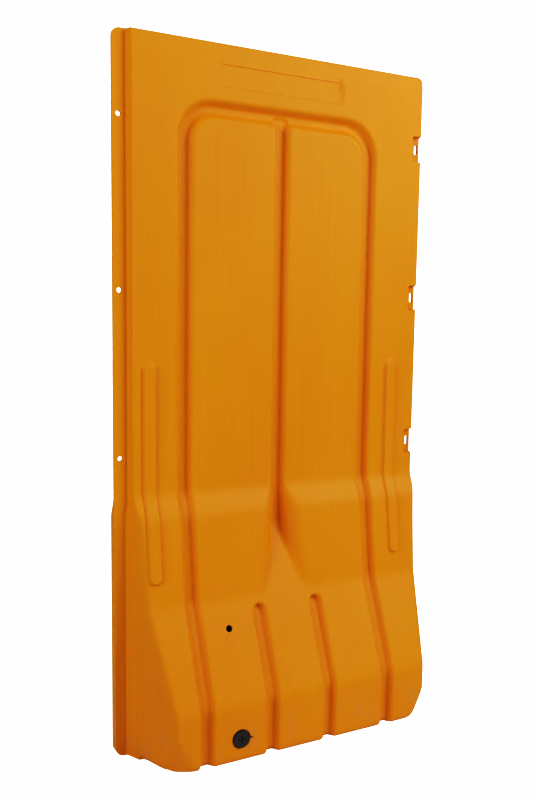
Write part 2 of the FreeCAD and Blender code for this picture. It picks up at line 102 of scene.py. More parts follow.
def soft_max(a: Array, b: Array, soft: Array | float) -> Array:
    """The greater of two surfaces, with the valley between them rounded over a depth of soft."""
    return -soft_min(-a, -b, soft)


def smooth_step(t: Array) -> Array:
    """0 below 0, 1 above 1, and a smooth rise between."""
    t = np.clip(t, 0.0, 1.0)
    return t * t * (3 - 2 * t)


def corner_distance(u: Array, v: Array) -> Array:
    """Distance outside a quarter plane's corner, and less than 0 inside it."""
    return np.hypot(np.maximum(u, 0), np.maximum(v, 0)) + np.minimum(np.maximum(u, v), 0)


def around(place: float, half: float, step: float) -> tuple[float, float, float]:
    """A fine zone of the grid, centred on a place."""
    return place - half, place + half, step


def graded_lines(stops: list[float], zones: list[tuple[float, float, float]], coarse: float,
                 growth: float = 0.36) -> Array:
    """Grid lines that pass through every stop and crowd together in the fine zones.

    Args:
        stops: Places that must have a line, from the first to the last.
        zones: (start, end, step) spans with their own spacing.
        coarse: The widest spacing.
        growth: How fast the spacing may grow away from a fine zone.

    Returns:
        The lines in rising order.
    """
    stops = sorted(set(round(s, 5) for s in stops))
    lines = [stops[0]]
    for low, high in zip(stops, stops[1:]):
        dense = np.linspace(low, high, max(int((high - low) / 0.0004), 2))
        spacing = np.full_like(dense, coarse)
        for start, end, step in zones:
            away = np.maximum(np.maximum(start - dense, dense - end), 0.0)
            spacing = np.minimum(spacing, step + growth * away)
        rate = 1 / spacing
        travelled = np.concatenate([[0.0], np.cumsum((rate[1:] + rate[:-1]) / 2 * np.diff(dense))])
        count = max(int(round(travelled[-1])), 1)
        lines += list(np.interp(np.linspace(0, travelled[-1], count + 1)[1:], travelled, dense))
    return np.array(lines)


# --- the moulding --------------------------------------------------------------------------------


@dataclass
class Hole:
    """A round or upright stadium-shaped feature that the skin's grid is bent round."""

    across: float
    high: float
    radius: float
    tall: float = 0.0
    squash: float = 1.0
    reach: float = 1.9
    open: bool = True

    @property
    def spacing(self) -> float:
        """How far apart the grid's lines are across the feature."""
        return min(max(self.radius / 3, 2.4 * MM), 4.5 * MM)

    def polar(self, x: Array, z: Array) -> tuple[Array, Array, Array]:
        """Offsets from the feature's spine, with the height scaled so that the rim is a circle.

        Args:
            x, z: The points' places along the barrier and up.

        Returns:
            The two offsets, and the distance that they give.
        """
        u = x - self.across
        v = z - self.high
        v = (v - np.clip(v, -self.tall, self.tall)) / self.squash
        return u, v, np.hypot(u, v)

    def bend(self, x: Array, z: Array) -> tuple[Array, Array]:
        """Turn the grid's squares round the feature into circles, fading out at its reach.

        Args:
            x, z: The points' places along the barrier and up.

        Returns:
            The bent places.
        """
        u, v, far = self.polar(x, z)
        square = np.maximum(np.abs(u), np.abs(v))
        scale = np.where(far > 0, square / np.maximum(far, 1e-9), 1.0)
        weight = 1 - smooth_step((square - self.radius) / (self.radius * (self.reach - 1)))
        gain = (scale - 1) * weight
        return x + u * gain, z + v * gain * self.squash


@dataclass
class Moulding:
    """One half of the hollow moulding: a soft relief over its front view, and its edges."""

    side: Side
    half_width: float
    height: float
    foot: float
    panel: float = 28 * MM
    wall: float = 3.2 * MM
    flange_reach: float = 41 * MM
    flange_depth: float = 4 * MM
    flange_low_depth: float = 26 * MM
    flange_soft: float = 3 * MM
    step_in: float = 13 * MM
    step_draft: float = 8 * MM
    step_low_draft: float = 21 * MM
    lap_back: float = 6 * MM
    lap_start: float = 50 * MM
    lap_step: float = 0.3 * MM
    slant: float = 0.33
    shoulder_top: float = 756 * MM
    shoulder_low: float = 694 * MM
    shoulder_depth: float = 55 * MM
    lean_low: float = 447 * MM
    lean_depth: float = 86 * MM
    skirt_top: float = 173 * MM
    ground_round: float = 24 * MM
    lip_tall: float = 35 * MM
    lip_back: float = 3 * MM
    edge_round: float = 4.5 * MM
    top_left_round: float = 22 * MM
    low_left_round: float = 26 * MM
    top_right_round: float = 20 * MM
    chamfer_tall: float = 95 * MM
    chamfer_back: float = 46 * MM
    chamfer_lean: float = 1.2
    cut: float = 20 * MM
    flank: float = 9 * MM
    flank_growth: float = 2.3
    floor_soft: float = 3 * MM
    rim_soft: float = 6 * MM
    mouth_half: float = 22 * MM
    arch_half: float = 25 * MM
    centre: float = 3 * MM
    spread: float = 303 * MM
    arch_top: float = 1821 * MM
    arch_round: float = 85 * MM
    groove_spread: float = 96 * MM
    groove_half: float = 21 * MM
    groove_top: float = 422 * MM
    valley_slope: float = 0.72
    bulge: float = 40 * MM
    ridge_places: tuple[float, float] = (-405.5 * MM, 403.5 * MM)
    ridge_half: float = 20 * MM
    ridge_tall: float = 8 * MM
    ridge_low: float = 513 * MM
    ridge_top: float = 1131 * MM
    plate_centre: tuple[float, float] = (4 * MM, 1913.5 * MM)
    plate_half: tuple[float, float] = (201 * MM, 30.5 * MM)
    plate_round: float = 8 * MM
    plate_deep: float = 2 * MM
    plate_flank: float = 1.6 * MM
    pocket_long: float = 34 * MM
    pocket_half: float = 39 * MM
    pocket_round: float = 12 * MM
    pocket_floor: float = 13 * MM
    pocket_flank: float = 3.5 * MM
    recess_deep: float = 8 * MM
    recess_flank: float = 1.5 * MM
    bolt_inset: float = 17.8 * MM
    bolt_radius: float = 7.25 * MM
    slot_inset: float = 12 * MM
    slot_radius: float = 6 * MM
    slot_tall: float = 9 * MM
    bolt_heights: tuple[float, ...] = (863 * MM, 1323 * MM, 1783 * MM)
    fill: Hole = field(default_factory=lambda: Hole(-199 * MM, 369.5 * MM, 10 * MM, squash=0.923))
    drain: Hole = field(default_factory=lambda: Hole(-197.5 * MM, 73 * MM, 28.5 * MM, open=False,
                                                     reach=1.6))

    # the outline, from its driving sizes

    @property
    def front(self) -> bool:
        """Whether this is the half with the lap edge, the fill hole and the drain."""
        return self.side is Side.FRONT

    @property
    def left(self) -> float:
        """Where the flange's step meets the face."""
        return self.flange_reach + self.step_in - self.half_width

    @property
    def right(self) -> float:
        """The half's right end: the rear leaves room for the neighbour's flange."""
        return self.half_width if self.front else self.half_width - self.flange_reach

    @property
    def fall(self) -> float:
        """Slope of the base between the lean and the skirt."""
        return (self.foot - self.lean_depth) / (self.lean_low - self.skirt_top)

    @property
    def lap_edge(self) -> float:
        """Where the lap edge starts to stand clear of the parting plane."""
        return self.half_width - self.flange_reach

    def holes(self) -> list[Hole]:
        """Every round feature of this half."""
        found = [Hole(self.bolt_inset - self.half_width, z, self.bolt_radius) for z in self.bolt_heights]
        if self.front:
            found += [Hole(self.half_width - self.slot_inset, z, self.slot_radius, tall=self.slot_tall)
                      for z in self.bolt_heights]
            found += [self.fill, self.drain]
        return found

    def profile(self, z: Array) -> Array:
        """Depth of the plain skin at each height: panel, shoulder, lean, fall and skirt.

        Args:
            z: Heights.

        Returns:
            The depth from the parting plane.
        """
        shoulder = (self.shoulder_depth - self.panel) / (self.shoulder_top - self.shoulder_low)
        lean = (self.lean_depth - self.shoulder_depth) / (self.shoulder_low - self.lean_low)
        depth = np.full_like(z, self.panel)
        for high, change, soft in (
            (self.shoulder_top, shoulder, 17 * MM),
            (self.shoulder_low, lean - shoulder, 15 * MM),
            (self.lean_low, self.fall - lean, 14 * MM),
            (self.skirt_top, -self.fall, 16 * MM),
        ):
            depth += change * ramp(high - z, soft)
        lip = self.lip_back / self.lip_tall
        return depth - lip * ramp(z - (self.height - self.lip_tall), 1.5 * MM)

    def below_shoulder(self, z: Array) -> Array:
        """1 below the shoulder, 0 above it, and a smooth change along it."""
        return 1 - smooth_step((z - self.shoulder_low) / (self.shoulder_top - self.shoulder_low))

    def trough(self, away: Array, half: Array | float) -> Array:
        """How deep a channel is cut at a distance from its middle line.

        Args:
            away: Distances from the line.
            half: Half the channel's width at its rim.

        Returns:
            The cut, less than 0 beyond the rim.
        """
        flank = self.flank + self.flank_growth * np.maximum(half - self.mouth_half, 0)
        slope = self.cut / flank
        fallen = ramp(away - half + flank, self.floor_soft) - ramp(away - half, self.rim_soft)
        return self.cut - slope * fallen

    def arch(self, x: Array, z: Array) -> Array:
        """Distance from the arched channel's middle line.

        Args:
            x, z: The points' places along the barrier and up.

        Returns:
            The distances.
        """
        u = np.abs(x - self.centre) - (self.spread - self.arch_round)
        v = z - (self.arch_top - self.arch_round)
        return np.abs(corner_distance(u, v) - self.arch_round)

    def channels(self, x: Array, z: Array) -> Array:
        """Depth cut by the arched channel and the two short grooves of the base.

        Args:
            x, z: The points' places along the barrier and up.

        Returns:
            The cut, at least 0.
        """
        over = smooth_step((z - self.arch_top + self.arch_round) / self.arch_round)
        half = self.mouth_half + (self.arch_half - self.mouth_half) * over
        depth = self.trough(self.arch(x, z), half)
        for sign in (-1, 1):
            over = np.maximum(z - self.groove_top + self.groove_half, 0)
            away = np.hypot(x - self.centre - sign * self.groove_spread, over)
            depth = soft_max(depth, self.trough(away, self.groove_half), 2 * MM)
        return np.maximum(depth, 0)

    def valley(self, x: Array, z: Array, plain: Array, bulging: Array) -> Array:
        """Depth of the skin with the middle channel and the splayed valley that it opens into.

        Args:
            x, z: The points' places along the barrier and up.
            plain: The skin's depth without any channel.
            bulging: 0 on the panel and 1 on the base.

        Returns:
            The depth with the channel in it.
        """
        away = np.abs(x - self.centre)
        near = self.panel - self.cut
        inner = self.cut / self.flank
        outer = 1 / self.valley_slope
        wall = near + inner * ramp(away - self.mouth_half + self.flank, self.floor_soft)
        wall += (outer - inner) * ramp(away - self.mouth_half, self.rim_soft)
        end_rise, end_long = 400 * MM, 8 * MM
        wall += end_rise * smooth_step((z - self.arch_top) / end_long)
        floor = np.minimum(self.lean_depth + self.fall * (self.lean_low - z), plain)
        rim = (8 + 22 * bulging) * MM
        foot = (0.2 + 8 * smooth_step((plain - floor) / (12 * MM))) * MM
        return soft_max(soft_min(wall, plain, rim), floor, foot)

    def sides(self, x: Array, z: Array, inset: Array) -> Array:
        """Greatest depth that the splayed ends of the base allow.

        Args:
            x, z: The points' places along the barrier and up.
            inset: How far the foot's rounding draws in.

        Returns:
            The greatest depth.
        """
        draft = self.step_draft + (self.step_low_draft - self.step_draft) * self.below_shoulder(z)
        steep = (self.lap_start - self.flange_depth) / draft
        rise = np.minimum(self.flange_depth + np.maximum(x - self.left + draft, 0) * steep, self.lap_start)
        left = np.maximum(rise, self.lap_start + (x - self.left - inset) / self.slant)
        begin = self.lap_start if self.front else self.panel
        right = np.maximum(begin + (self.right - x - inset) / self.slant, self.panel)
        return np.where(x < 0, left, right)

    def relief(self, x: Array, z: Array) -> Array:
        """Depth of the finished skin from the parting plane.

        Args:
            x, z: The points' places along the barrier and up.

        Returns:
            The depth at each point.
        """
        low = np.clip(self.ground_round - z, 0, self.ground_round)
        inset = self.ground_round - np.sqrt(self.ground_round ** 2 - low ** 2)
        plain = self.profile(z)
        bulging = smooth_step((plain - self.panel) / self.bulge)
        depth = self.valley(x, z, plain, bulging) - self.channels(x, z)
        depth = np.maximum(depth - inset * (plain > self.panel), np.minimum(self.panel, depth))
        ends = np.minimum(self.sides(x, z, inset), self.corner_chamfer(x, z))
        rim = (5 + 39 * bulging) * MM
        depth = soft_min(depth, ends, rim) + self.ridges(x, z)
        depth = self.edges(x, z, depth)
        if self.front:
            depth = self.sunk_details(x, z, depth)
        return soft_max(depth, self.flange_skin(z), self.flange_soft)

    def flange_skin(self, z: Array) -> Array:
        """Depth of the flange: the rear skin steps back below the shoulder.

        Args:
            z: Heights.

        Returns:
            The flange's depth.
        """
        if self.front:
            return np.full_like(z, self.flange_depth)
        extra = self.flange_low_depth - self.flange_depth
        return self.flange_depth + extra * self.below_shoulder(z)

    def corner_chamfer(self, x: Array, z: Array) -> Array:
        """The cut-back lower corners at the two ends of the foot.

        Args:
            x, z: The points' places along the barrier and up.

        Returns:
            The greatest depth that the cuts allow.
        """
        left = self.left + self.slant * (self.foot - self.lap_start)
        begin = self.lap_start if self.front else self.panel
        right = self.right - self.slant * (self.foot - begin)
        back = self.chamfer_back * np.clip(1 - z / self.chamfer_tall, 0, 1)
        inward = np.minimum(x - left, right - x) - back
        far = self.foot + self.chamfer_lean * inward
        no_cut = 1.0
        return np.where(z < self.chamfer_tall, np.maximum(far, self.panel), no_cut)

    def ridges(self, x: Array, z: Array) -> Array:
        """The two low ridges beside the shoulder.

        Args:
            x, z: The points' places along the barrier and up.

        Returns:
            How far the ridges stand proud.
        """
        proud = np.zeros_like(x)
        half = self.ridge_half
        for across in self.ridge_places:
            spine = np.clip(z, self.ridge_low + half, self.ridge_top - half)
            away = np.hypot(x - across, z - spine)
            flank = (4 + 15 * smooth_step((z - spine) / half)) * MM
            proud += self.ridge_tall * smooth_step((half - away) / flank)
        return proud

    def edges(self, x: Array, z: Array, depth: Array) -> Array:
        """Round the skin over at the top edge and at its right end.

        Args:
            x, z: The points' places along the barrier and up.
            depth: The skin's depth at them.

        Returns:
            The rounded depth.
        """
        soft = self.edge_round
        for away in (self.height - z, self.right - x):
            t = np.clip(soft - away, 0, soft)
            depth = depth - (soft - np.sqrt(soft ** 2 - t ** 2))
        return depth

    def sunk_details(self, x: Array, z: Array, depth: Array) -> Array:
        """The blank plate, the drain's recess and the pockets in the lap edge.

        Args:
            x, z: The points' places along the barrier and up.
            depth: The skin's depth at them.

        Returns:
            The depth with the details in it.
        """
        u = np.abs(x - self.plate_centre[0]) - (self.plate_half[0] - self.plate_round)
        v = np.abs(z - self.plate_centre[1]) - (self.plate_half[1] - self.plate_round)
        within = self.plate_round - corner_distance(u, v)
        depth = depth - self.plate_deep * smooth_step(within / self.plate_flank)
        far = self.drain.polar(x, z)[2]
        rise = smooth_step((far - self.drain.radius + self.recess_flank) / self.recess_flank)
        sunk = self.foot - self.recess_deep + self.recess_deep * rise
        depth = np.where(far < self.drain.radius, np.minimum(depth, sunk), depth)
        for high in self.bolt_heights:
            u = self.half_width - self.pocket_long + self.pocket_round - x
            v = np.abs(z - high) - (self.pocket_half - self.pocket_round)
            share = smooth_step((self.pocket_round - corner_distance(u, v)) / self.pocket_flank)
            depth = depth + (self.pocket_floor - depth) * share
        return depth

    # the grid

    def columns(self) -> Array:
        """Upright grid lines, close together where the relief turns."""
        c, s = self.centre, self.spread
        stops = [-self.half_width, self.left - self.step_draft, self.left, self.lap_edge, self.right]
        zones = [
            (-self.half_width, 2.5 * MM - self.half_width, 1.3 * MM),
            (self.left - self.step_low_draft, self.left, 3 * MM),
            (self.left - 7 * MM, self.left + 3 * MM, 1.6 * MM),
            (self.left, self.left + 80 * MM, 8 * MM),
            (self.right - 5 * MM, self.right, 1.4 * MM),
            (self.right - 75 * MM, self.right, 8 * MM),
            around(c - s, 26 * MM, 3.4 * MM), around(c + s, 26 * MM, 3.4 * MM),
            (c - s, c - s + 110 * MM, 8 * MM), (c + s - 110 * MM, c + s, 8 * MM),
            around(c, 26 * MM, 3.4 * MM), around(c, 100 * MM, 10 * MM),
        ]
        for sign in (-1, 1):
            zones.append(around(c + sign * self.groove_spread, 24 * MM, 3.8 * MM))
            zones += [around(across + sign * (self.ridge_half - 3 * MM), 4 * MM, 3 * MM)
                      for across in self.ridge_places]
        for hole in self.holes():
            stops += [hole.across - hole.radius, hole.across + hole.radius]
            zones.append(around(hole.across, hole.radius, hole.spacing))
        if self.front:
            stops += self.detail_stops(self.drain.across, self.plate_centre[0], self.plate_half[0])
            stops += [self.lap_edge - self.lap_step, self.half_width - self.pocket_long,
                      self.half_width - self.pocket_long + self.pocket_flank]
        on_skin = [x for x in stops if -self.half_width <= x <= self.right + 1e-9]
        return graded_lines(on_skin, zones, 40 * MM)

    def rows(self) -> Array:
        """Level grid lines, close together where the relief turns."""
        stops = [0.0, self.height, self.height - self.lip_tall, self.height - self.edge_round]
        zones = [
            (0.0, self.ground_round, 4 * MM), (0.0, self.chamfer_tall, 10 * MM),
            around(self.skirt_top, 18 * MM, 7 * MM), around(self.lean_low, 18 * MM, 7 * MM),
            (self.groove_top - 22 * MM, self.groove_top + 9 * MM, 4 * MM),
            around(self.shoulder_low, 18 * MM, 6 * MM), around(self.shoulder_top, 20 * MM, 6 * MM),
            (self.lean_low, self.shoulder_top, 15 * MM),
            (self.ridge_low - MM, self.ridge_low + self.ridge_half, 4 * MM),
            (self.ridge_top - self.ridge_half, self.ridge_top + MM, 4 * MM),
            around(self.arch_top, 28 * MM, 4 * MM), (self.arch_top - 95 * MM, self.arch_top, 8 * MM),
            (self.height - self.edge_round, self.height, 1.6 * MM),
        ]
        for hole in self.holes():
            tall = hole.tall + hole.radius * hole.squash
            stops += [hole.high - tall, hole.high + tall]
            zones.append(around(hole.high, tall, hole.spacing))
        if self.front:
            stops += self.detail_stops(self.drain.high, self.plate_centre[1], self.plate_half[1])
            stops += [z + sign * half for z in self.bolt_heights for sign in (-1, 1)
                      for half in (self.pocket_half, self.pocket_half - self.pocket_flank)]
        return graded_lines(stops, zones, 60 * MM)

    def detail_stops(self, drain: float, plate: float, plate_half: float) -> list[float]:
        """Lines that the drain's recess and the plate need, in one direction.

        Args:
            drain: The drain's middle.
            plate: The plate's middle.
            plate_half: Half the plate's size.

        Returns:
            The places of the lines.
        """
        ends = [(drain, self.drain.radius - self.recess_flank), (drain, BUSH_RADIUS),
                (plate, plate_half), (plate, plate_half - 1.5 * MM)]
        return [middle + sign * half for middle, half in ends for sign in (-1, 1)]

    def rounded_corners(self, x: Array, z: Array) -> tuple[Array, Array]:
        """Bring the square corners of the outline in to their arcs.

        Args:
            x, z: The points' places along the barrier and up.

        Returns:
            The places, moved.
        """
        for cx, cz, sx, sz, r in (
            (-self.half_width, self.height, -1, 1, self.top_left_round),
            (-self.half_width, 0.0, -1, -1, self.low_left_round),
            (self.right, self.height, 1, 1, self.top_right_round),
        ):
            u = np.clip((x - (cx - sx * r)) * sx / r, 0, 1)
            v = np.clip((z - (cz - sz * r)) * sz / r, 0, 1)
            inside = (u > 0) & (v > 0)
            x = np.where(inside, cx - sx * r + sx * r * u * np.sqrt(1 - v * v / 2), x)
            z = np.where(inside, cz - sz * r + sz * r * v * np.sqrt(1 - u * u / 2), z)
        return x, z

    # the mesh

    def open_cells(self, x: Array, z: Array) -> Array:
        """Which of the grid's cells lie inside an opening, row by row.

        Args:
            x, z: The points' places along the barrier and up.

        Returns:
            True for each cell to delete.
        """
        cx = (x[:-1, :-1] + x[1:, :-1] + x[:-1, 1:] + x[1:, 1:]) / 4
        cz = (z[:-1, :-1] + z[1:, :-1] + z[:-1, 1:] + z[1:, 1:]) / 4
        inside = np.zeros(cx.shape, dtype=bool)
        for hole in self.holes():
            inside |= hole.polar(cx, cz)[2] < (hole.radius if hole.open else BUSH_RADIUS)
        return inside

    def build(self, name: str) -> bpy.types.Object:
        """Press the relief into a grid, close its edges and give it a wall.

        Args:
            name: The piece's name.

        Returns:
            The finished half.
        """
        xs, zs = self.columns(), self.rows()
        LOG.info("%s: %d by %d grid lines", name, len(xs), len(zs))
        x, z = np.meshgrid(xs, zs)
        for hole in self.holes():
            x, z = hole.bend(x, z)
        depth = self.relief(x, z)
        px, pz = self.rounded_corners(x, z)

        clear_selection()
        bpy.ops.mesh.primitive_grid_add(x_subdivisions=len(xs) - 1, y_subdivisions=len(zs) - 1)
        skin = named(name)
        points = np.stack([px, depth * self.side.value, pz], axis=-1).reshape(-1, 3)
        skin.data.vertices.foreach_set("co", points.ravel())
        self.pierce(skin, self.open_cells(x, z).ravel())
        if self.front:
            self.back_the_lap(skin)
        self.close_edges(skin)
        thicken(skin, self.wall)
        smooth(skin, 38)
        return skin

    def pierce(self, skin: bpy.types.Object, inside: Array) -> None:
        """Delete the cells inside the openings.

        Args:
            skin: The pressed grid.
            inside: Whether each face goes.
        """
        with editing(skin) as mesh:
            mesh.faces.ensure_lookup_table()
            for face, gone in zip(mesh.faces, inside):
                face.select = bool(gone)
            bpy.ops.mesh.delete(type="FACE")
        if not self.front:
            with editing(skin):
                bpy.ops.mesh.select_all(action="SELECT")
                bpy.ops.mesh.flip_normals()

    def back_the_lap(self, skin: bpy.types.Object) -> None:
        """Give the lap edge its own back, and join the two round the edge and through the slots.

        Args:
            skin: The front skin, still open.
        """
        with editing(skin) as mesh:
            for face in mesh.faces:
                face.select = face.calc_center_median().x > self.lap_edge
            bpy.ops.mesh.duplicate()
            bpy.ops.mesh.flip_normals()
            for vert in mesh.verts:
                if vert.select:
                    vert.co.y = -self.lap_back
        slot = self.half_width - self.slot_inset
        wide = self.slot_radius + 2 * MM
        tall = self.slot_tall + self.slot_radius + MM
        for high in self.bolt_heights:
            self.bridge(skin, lambda p, z=high: abs(p.z - z) < tall and abs(p.x - slot) < wide)
        self.bridge(skin, lambda p: p.x > self.lap_edge and self.on_outline(p))

    def on_outline(self, point: Vector) -> bool:
        """Whether a point is near the outline of the front view."""
        near = 8 * MM
        return point.z < near or point.z > self.height - near or point.x > self.half_width - near

    def bridge(self, skin: bpy.types.Object, test: Callable[[Vector], bool]) -> None:
        """Join the two runs of open edges whose middles pass a test.

        Args:
            skin: The skin to edit.
            test: Chooses edges by their middles.
        """
        with editing(skin) as mesh:
            for edge in mesh.edges:
                if edge.is_boundary and test((edge.verts[0].co + edge.verts[1].co) / 2):
                    edge.select = True
            bpy.ops.mesh.bridge_edge_loops()

    def close_edges(self, skin: bpy.types.Object) -> None:
        """Fold the open edges back to the parting plane, and to the lap's back beside it.

        Args:
            skin: The skin to edit.
        """
        with editing(skin) as mesh:
            for edge in mesh.edges:
                edge.select = edge.is_boundary and self.meets_parting(edge)
            bpy.ops.mesh.extrude_edges_move()
            for vert in mesh.verts:
                if not vert.select:
                    continue
                on_back = self.front and abs(vert.co.x - self.lap_edge) < self.lap_step / 2
                if on_back and abs(vert.co.y) < self.lap_back + self.lap_step:
                    vert.co.x -= self.lap_step
                    vert.co.y = 0
                elif on_back:
                    vert.co.y = -self.lap_back
                else:
                    vert.co.y = 0
        with editing(skin):
            bpy.ops.mesh.select_all(action="SELECT")
            bpy.ops.mesh.remove_doubles(threshold=self.lap_step / 6)
            bpy.ops.mesh.normals_make_consistent(inside=False)

    def meets_parting(self, edge: bmesh.types.BMEdge) -> bool:
        """Whether an open edge is on the outline or a bolt hole, not on the fill hole or the drain.

        Args:
            edge: An open edge.

        Returns:
            True if it folds back to the parting plane.
        """
        middle = (edge.verts[0].co + edge.verts[1].co) / 2
        for hole in (self.fill, self.drain):
            if self.front and math.hypot(middle.x - hole.across, middle.z - hole.high) < hole.radius + MM:
                return False
        return True


# --- modelling helpers -----------------------------------------------------------------------------


def clear_selection() -> None:
    """Leave every object unselected, so that an operator acts on what is chosen next."""
    bpy.ops.object.select_all(action="DESELECT")


def pick(thing: bpy.types.Object) -> None:
    """Select one object alone and make it the active one."""
    clear_selection()
    thing.select_set(True)
    bpy.context.view_layer.objects.active = thing


def join(main_part: bpy.types.Object, *others: bpy.types.Object) -> None:
    """Join other objects into one."""
    pick(main_part)
    for part in others:
        part.select_set(True)
    bpy.ops.object.join()


def named(name: str) -> bpy.types.Object:
    """Name the object just added, and its mesh."""
    thing = bpy.context.object
    thing.name = thing.data.name = name
    return thing


@contextmanager
def editing(thing: bpy.types.Object) -> Iterator[bmesh.types.BMesh]:
    """Edit mode on one object, with nothing selected in it.

    Args:
        thing: The object to edit.

    Yields:
        Its mesh, while it is open for editing.
    """
    pick(thing)
    bpy.ops.object.mode_set(mode="EDIT")
    bpy.ops.mesh.select_mode(type="VERT")
    bpy.ops.mesh.select_all(action="DESELECT")
    mesh = bmesh.from_edit_mesh(thing.data)
    yield mesh
    bpy.ops.object.mode_set(mode="OBJECT")


def apply_modifier(thing: bpy.types.Object, kind: str, **settings: object) -> None:
    """Add a modifier, set it up and apply it.

    Args:
        thing: The object to change.
        kind: The modifier's type.
        settings: The modifier's properties.
    """
    pick(thing)
    modifier = thing.modifiers.new(kind.title(), kind)
    for key, value in settings.items():
        setattr(modifier, key, value)
    bpy.ops.object.modifier_apply(modifier=modifier.name)


def thicken(thing: bpy.types.Object, wall: float) -> None:
    """Give a skin a wall on its inner side."""
    apply_modifier(thing, "SOLIDIFY", thickness=wall, offset=-1.0, use_rim=True)


def smooth(thing: bpy.types.Object, degrees: float) -> None:
    """Smooth shading, except across edges sharper than an angle."""
    pick(thing)
    bpy.ops.object.shade_smooth_by_angle(angle=math.radians(degrees))


# --- finishes --------------------------------------------------------------------------------------


class Nodes:
    """A small builder for one node tree."""

    def __init__(self, tree: bpy.types.NodeTree) -> None:
        """Start on an empty tree."""
        self.tree = tree
        tree.nodes.clear()

    def add(self, kind: str, **settings: object) -> bpy.types.Node:
        """Add a node.

        Args:
            kind: The node's type, without its ShaderNode prefix.
            settings: Properties, and plain socket values named with a leading in_ and underscores.

        Returns:
            The node.
        """
        node = self.tree.nodes.new(kind if kind.startswith("NodeGroup") else f"ShaderNode{kind}")
        for key, value in settings.items():
            if key.startswith("in_"):
                node.inputs[key[3:].replace("_", " ")].default_value = value
            else:
                setattr(node, key, value)
        return node

    def link(self, source: bpy.types.NodeSocket, target: bpy.types.NodeSocket) -> None:
        """Join an output to an input."""
        self.tree.links.new(source, target)

    def math(self, operation: str, first: object, second: object = 0.0) -> bpy.types.NodeSocket:
        """A math node on sockets or numbers.

        Args:
            operation: The node's operation.
            first, second: Sockets or numbers.

        Returns:
            The result's socket.
        """
        node = self.add("Math", operation=operation)
        for place, value in enumerate((first, second)):
            if isinstance(value, bpy.types.NodeSocket):
                self.link(value, node.inputs[place])
            else:
                node.inputs[place].default_value = value
        return node.outputs[0]

    def noise(self, place: bpy.types.NodeSocket, scale: tuple[float, float, float], detail: float,
              roughness: float = 0.5) -> bpy.types.NodeSocket:
        """Noise over a stretched position.

        Args:
            place: The position's socket.
            scale: Stretch in each direction.
            detail, roughness: The noise's own settings.

        Returns:
            The noise, about 0 to 1.
        """
        mapping = self.add("Mapping", in_Scale=scale)
        self.link(place, mapping.inputs["Vector"])
        noise = self.add("TexNoise", in_Scale=1.0, in_Detail=detail, in_Roughness=roughness)
        self.link(mapping.outputs[0], noise.inputs["Vector"])
        return noise.outputs["Fac"]

    def span(self, value: bpy.types.NodeSocket, low: float, high: float) -> bpy.types.NodeSocket:
        """Map a range of values to 0 to 1, clamped."""
        node = self.add("MapRange", clamp=True, in_From_Min=low, in_From_Max=high)
        self.link(value, node.inputs["Value"])
        return node.outputs["Result"]

    def mix(self, share: object, first: object, second: object) -> bpy.types.NodeSocket:
        """Mix two colours.

        Args:
            share: How much of the second colour shows.
            first, second: Sockets or colours.

        Returns:
            The mixed colour's socket.
        """
        node = self.add("Mix", data_type="RGBA")
        for place, value in ((0, share), (6, first), (7, second)):
            if isinstance(value, bpy.types.NodeSocket):
                self.link(value, node.inputs[place])
            else:
                node.inputs[place].default_value = value
        return node.outputs[2]


def new_group(name: str, inputs: dict[str, float], outputs: dict[str, str]) -> tuple[
        bpy.types.NodeTree, bpy.types.Node, bpy.types.Node, Nodes]:
    """Start a shader node group.

    Args:
        name: The group's name.
        inputs: Number inputs and their starting values.
        outputs: Output names and their socket types.

    Returns:
        The group, its input node, its output node and a builder for it.
    """
    tree = bpy.data.node_groups.new(name, "ShaderNodeTree")
    for title, start in inputs.items():
        socket = tree.interface.new_socket(title, in_out="INPUT", socket_type="NodeSocketFloat")
        socket.default_value = start
    for title, kind in outputs.items():
        tree.interface.new_socket(title, in_out="OUTPUT", socket_type=kind)
    nodes = Nodes(tree)
    return tree, nodes.add("NodeGroupInput"), nodes.add("NodeGroupOutput"), nodes


def edge_wear_group() -> bpy.types.NodeTree:
    """Where corners are rubbed: a mask from pointiness, broken up by noise."""
    tree, given, made, nodes = new_group(
        "edge_wear", {"Threshold": 0.53, "Breakup": 40.0}, {"Mask": "NodeSocketFloat"})
    place = nodes.add("TexCoord").outputs["Object"]
    noise = nodes.add("TexNoise", in_Detail=4.0)
    nodes.link(place, noise.inputs["Vector"])
    nodes.link(given.outputs["Breakup"], noise.inputs["Scale"])
    sharp = nodes.math("SUBTRACT", nodes.add("NewGeometry").outputs["Pointiness"], given.outputs["Threshold"])
    rubbed = nodes.span(sharp, 0.0, 0.05)
    broken = nodes.span(noise.outputs["Fac"], 0.42, 0.62)
    nodes.link(nodes.math("MULTIPLY", rubbed, broken), made.inputs["Mask"])
    return tree


def grain_group() -> bpy.types.NodeTree:
    """The fine pebbling that a mould leaves: a height, and a small change of gloss."""
    tree, given, made, nodes = new_group(
        "mould_grain", {"Scale": 900.0, "Gloss": 0.04},
        {"Height": "NodeSocketFloat", "Gloss": "NodeSocketFloat"})
    place = nodes.add("TexCoord").outputs["Object"]
    fine = nodes.add("TexNoise", in_Detail=3.0, in_Roughness=0.6)
    nodes.link(place, fine.inputs["Vector"])
    nodes.link(given.outputs["Scale"], fine.inputs["Scale"])
    nodes.link(fine.outputs["Fac"], made.inputs["Height"])
    centred = nodes.math("SUBTRACT", fine.outputs["Fac"], 0.5)
    nodes.link(nodes.math("MULTIPLY", centred, given.outputs["Gloss"]), made.inputs["Gloss"])
    return tree


